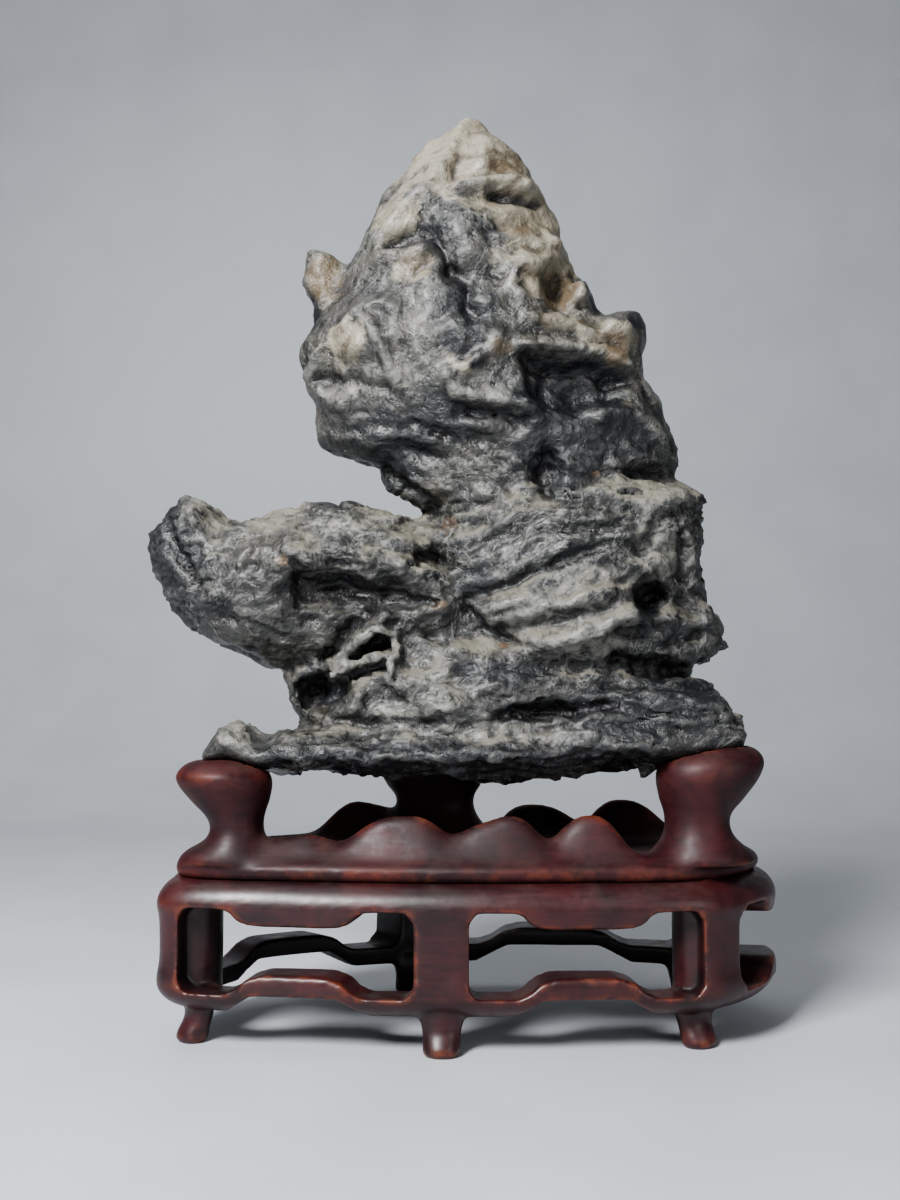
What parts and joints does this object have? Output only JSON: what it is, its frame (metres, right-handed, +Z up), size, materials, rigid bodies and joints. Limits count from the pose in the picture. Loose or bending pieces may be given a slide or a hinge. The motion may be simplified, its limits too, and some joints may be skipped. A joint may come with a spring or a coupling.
{
  "type": "scholars rock on a stand",
  "caption": "Eroded limestone scholars' rock, narrow at its foot with a side arm and a peak, held on posts of a carved dark hardwood stand with pierced sides and small feet.",
  "frame": {"origin": "centre of the whole object's footprint box, on the surface it stands on", "axes": "+Z up; +X to the viewer's right along the stand's long side; the display side faces -Y"},
  "size_m": [0.171, 0.0791, 0.2496],
  "materials": {
    "stone": "eroded grey limestone with pale veins, waxed to a low sheen, cream at the peak",
    "top_wood": "dark red-brown lacquered hardwood, satin, rubbed lighter on its crests",
    "frame_wood": "dark red-brown lacquered hardwood, satin, rubbed lighter along its edges"
  },
  "bodies": {
    "root": {"rock": "stone", "stand_top": "top_wood", "stand_frame": "frame_wood"}
  },
  "joints": []
}
